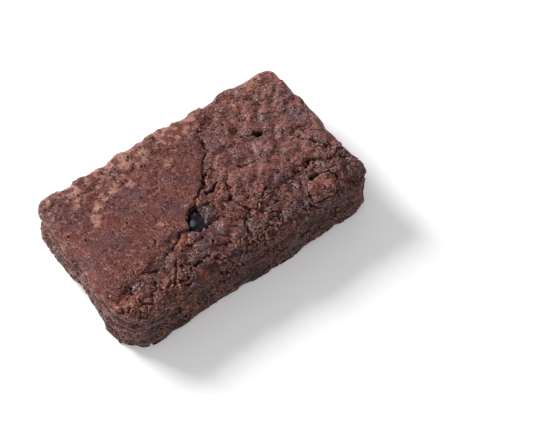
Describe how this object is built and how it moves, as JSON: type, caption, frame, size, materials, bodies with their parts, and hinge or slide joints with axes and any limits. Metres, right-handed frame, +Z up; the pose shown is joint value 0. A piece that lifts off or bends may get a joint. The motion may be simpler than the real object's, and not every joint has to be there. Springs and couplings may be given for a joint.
{
  "type": "chocolate brownie",
  "caption": "Single chocolate brownie bar with a thin smooth crust that has broken away over part of the top, showing rough crumb.",
  "frame": {"origin": "centre of the bounding box on the plane of the flat base that the bar lies on", "axes": "+X along the bar's length towards the end where the crust is broken away, -Y towards the long side where the crumb shows along the top, +Z up"},
  "size_m": [0.089, 0.0524, 0.0205],
  "materials": {
    "baked_cake": "matte, rough baked crust and crumb"
  },
  "bodies": {
    "root": {"brownie": "baked_cake"}
  },
  "joints": []
}
